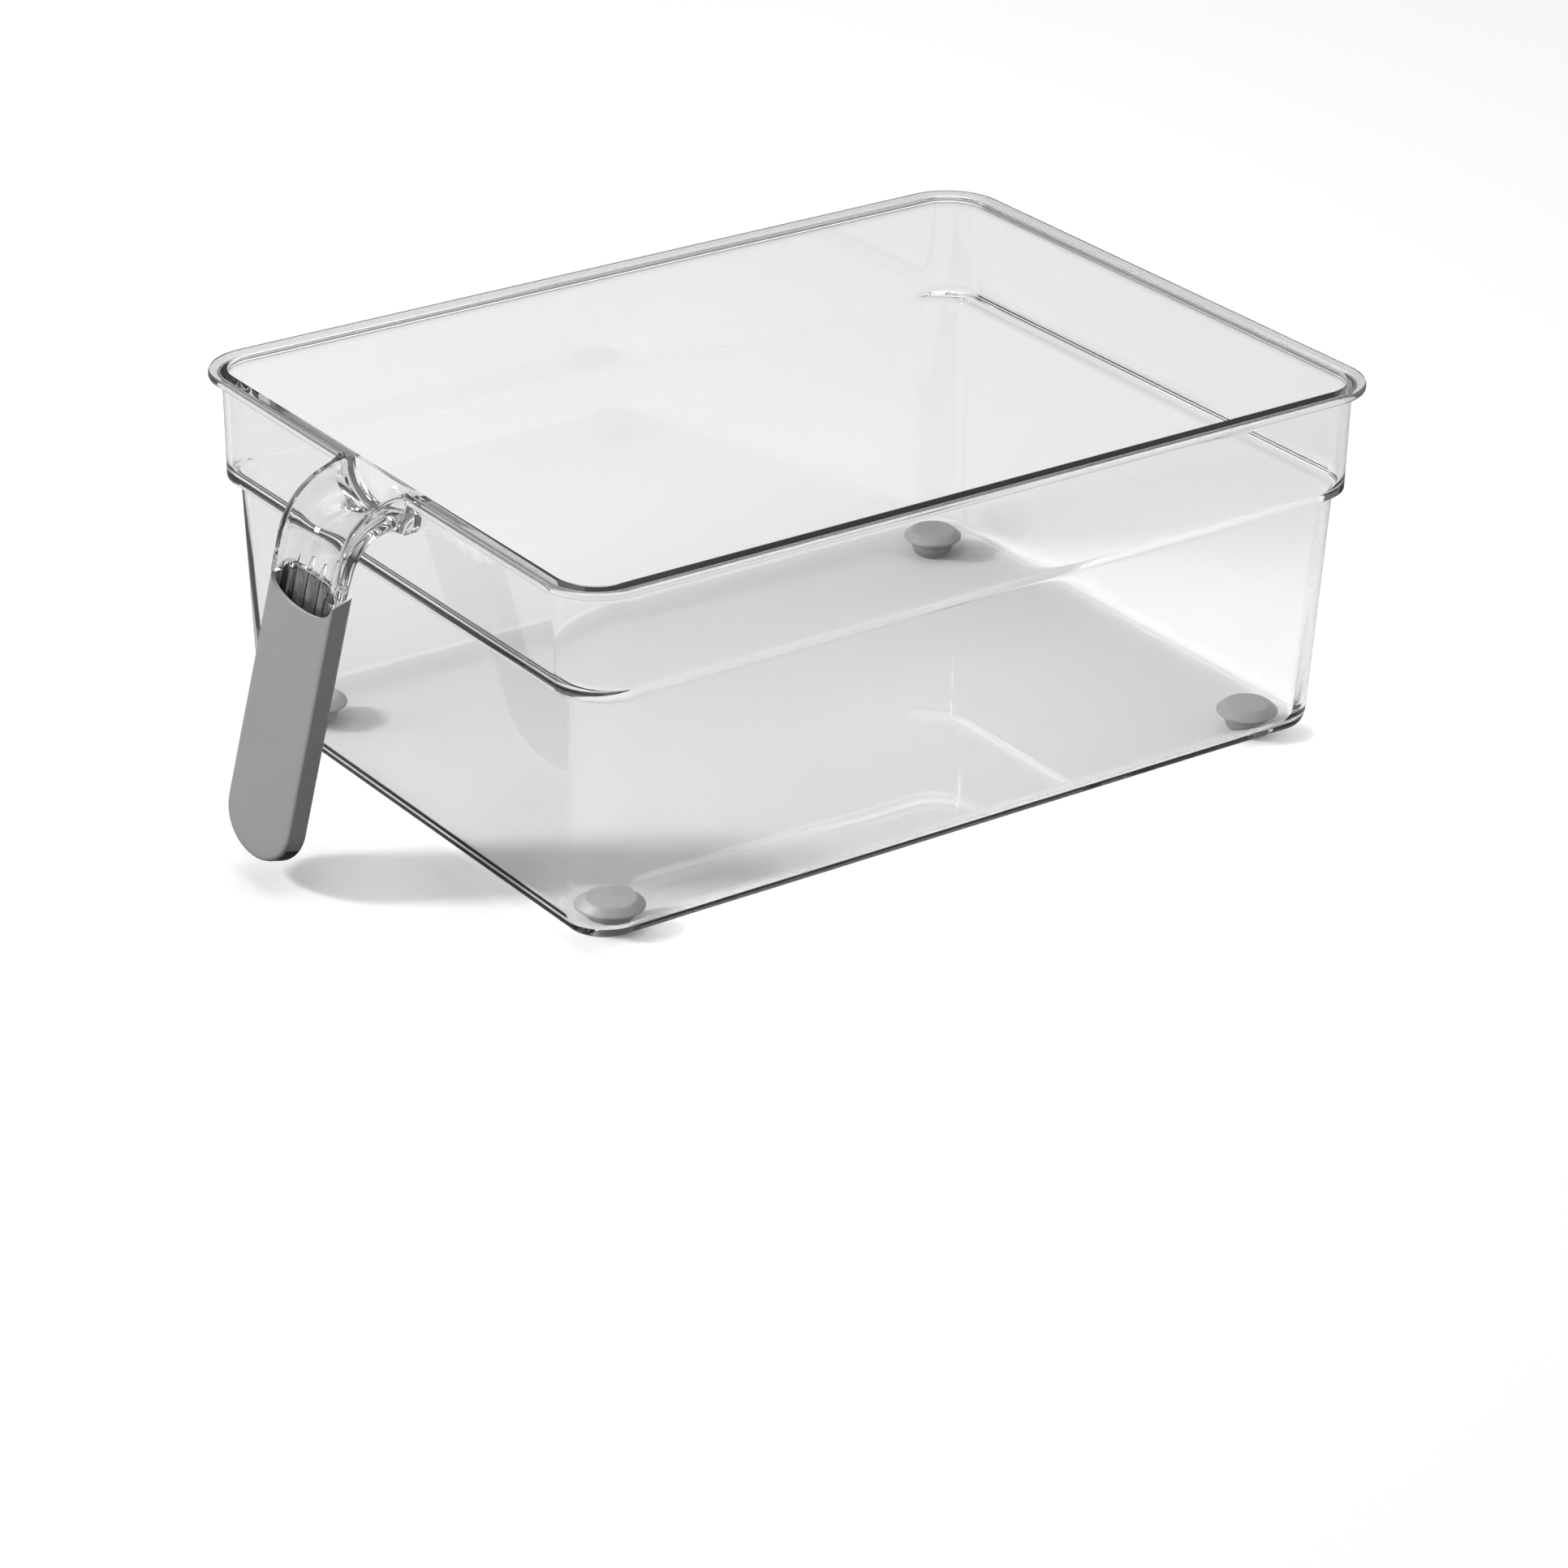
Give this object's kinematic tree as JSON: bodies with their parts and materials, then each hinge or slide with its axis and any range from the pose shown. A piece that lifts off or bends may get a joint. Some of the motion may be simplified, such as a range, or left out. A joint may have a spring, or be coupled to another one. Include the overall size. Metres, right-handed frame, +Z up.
{
  "type": "fridge storage bin",
  "caption": "Clear open-topped storage bin with rounded corners, a rolled rim, a stacking ledge on both ends, a hanging grip handle and rubber feet.",
  "frame": {"origin": "middle of the whole part's box, on the surface that the feet stand on", "axes": "+Z up; the handle is at the front, -Y; +X is to the right seen from the front"},
  "size_m": [0.236, 0.3676, 0.1295],
  "materials": {
    "clear_plastic": "clear polished plastic, slightly rounded edges",
    "soft_grip": "soft-touch matt grey elastomer",
    "foot_rubber": "satin grey rubber"
  },
  "bodies": {
    "root": {"bin_shell": "clear_plastic", "grip": "soft_grip", "foot_front_left": "foot_rubber", "foot_front_right": "foot_rubber", "foot_rear_left": "foot_rubber", "foot_rear_right": "foot_rubber"}
  },
  "joints": []
}
